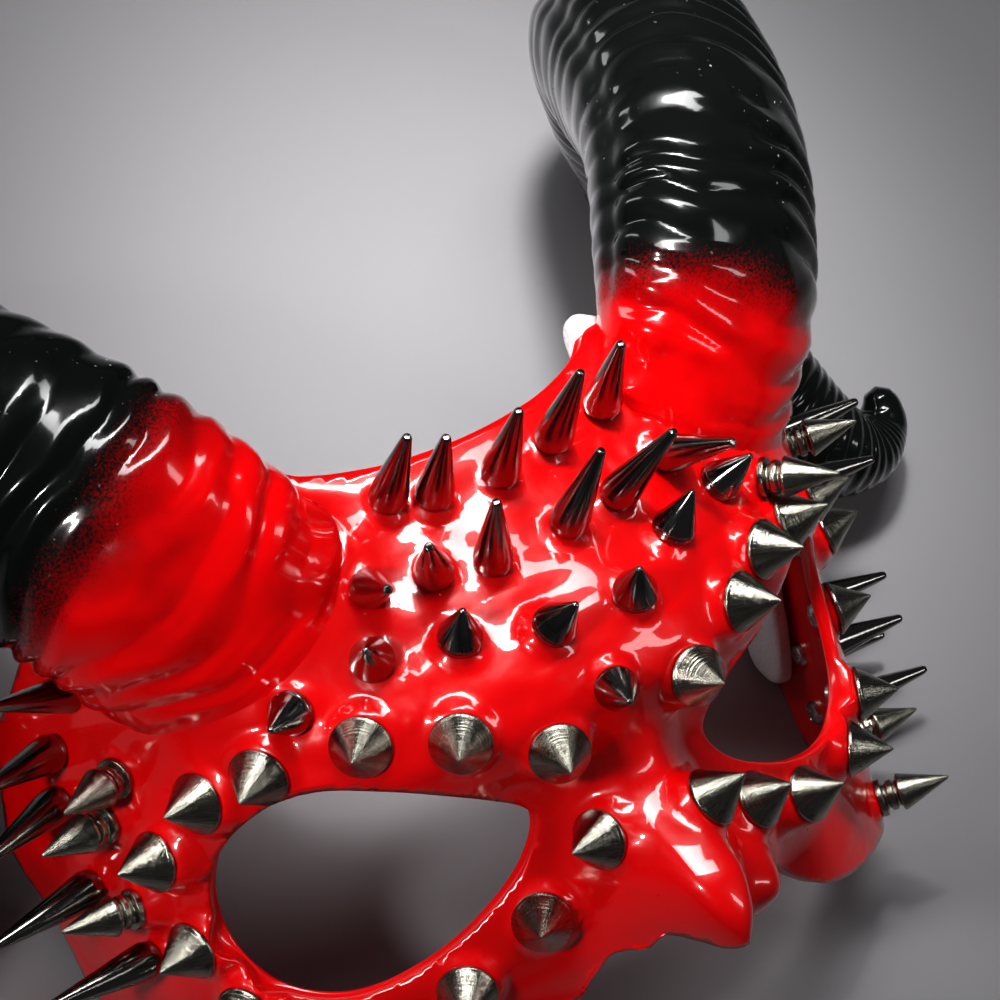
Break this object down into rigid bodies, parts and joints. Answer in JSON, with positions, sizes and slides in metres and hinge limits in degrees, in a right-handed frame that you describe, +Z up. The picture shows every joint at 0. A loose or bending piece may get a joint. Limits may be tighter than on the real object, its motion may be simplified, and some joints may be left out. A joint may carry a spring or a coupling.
{
  "type": "devil masquerade mask",
  "caption": "Half-face devil masquerade mask with curled ram horns, metal spikes screwed round the eyes and over the forehead, and foam pads inside.",
  "frame": {"origin": "on the floor, in the middle of the mask's footprint as it lies on its back", "axes": "+X towards the wearer's left, +Y from the chin side towards the horns, +Z up; the face looks up and a little towards -Y"},
  "size_m": [0.2504, 0.1802, 0.1129],
  "materials": {
    "red_gloss": "wet-look red lacquer over a softly lumpy moulding",
    "black_gloss": "gloss black lacquer with fine dust specks, fading to red at the horn roots",
    "nickel": "nickel plate with a faint turning grain",
    "black_nickel": "smooth black nickel plate",
    "white_foam": "soft white closed-cell foam, faintly speckled"
  },
  "bodies": {
    "root": {"mask_shell": "red_gloss", "horn_left": "black_gloss", "horn_right": "black_gloss", "forehead_spike_1": "black_nickel", "forehead_spike_2": "black_nickel", "forehead_spike_3": "black_nickel", "forehead_spike_4": "black_nickel", "forehead_spike_5": "black_nickel", "forehead_spike_6": "black_nickel", "forehead_spike_7": "black_nickel", "forehead_spike_8": "black_nickel", "forehead_spike_9": "black_nickel", "forehead_spike_10": "black_nickel", "forehead_spike_11": "black_nickel", "collared_spike_1": "black_nickel", "collared_spike_2": "black_nickel", "collared_spike_3": "black_nickel", "collared_spike_4": "black_nickel", "collared_spike_5": "black_nickel", "collared_spike_6": "black_nickel", "collared_spike_7": "black_nickel", "collared_spike_8": "black_nickel", "cone_stud_right_1": "nickel", "cone_stud_right_2": "nickel", "cone_stud_right_3": "nickel", "cone_stud_right_4": "nickel", "cone_stud_right_5": "nickel", "cone_stud_right_6": "nickel", "cone_stud_right_7": "nickel", "cone_stud_right_8": "nickel", "cone_stud_right_9": "nickel", "cone_stud_right_10": "nickel", "cone_stud_right_11": "nickel", "cone_stud_right_12": "nickel", "cone_stud_left_1": "nickel", "cone_stud_left_2": "nickel", "cone_stud_left_3": "nickel", "cone_stud_left_4": "nickel", "cone_stud_left_5": "nickel", "cone_stud_left_6": "nickel", "cone_stud_left_7": "nickel", "cone_stud_left_8": "nickel", "cone_stud_left_9": "nickel", "cone_stud_left_10": "nickel", "cone_stud_left_11": "nickel", "cone_stud_left_12": "nickel", "tree_spike_right_1": "nickel", "tree_spike_right_2": "nickel", "tree_spike_right_3": "nickel", "tree_spike_right_4": "nickel", "long_spike_right_1": "black_nickel", "long_spike_right_2": "black_nickel", "tree_spike_left_1": "nickel", "tree_spike_left_2": "nickel", "tree_spike_left_3": "nickel", "tree_spike_left_4": "nickel", "long_spike_left_1": "black_nickel", "long_spike_left_2": "black_nickel", "foam_pad_left": "white_foam", "foam_pad_right": "white_foam"}
  },
  "joints": []
}
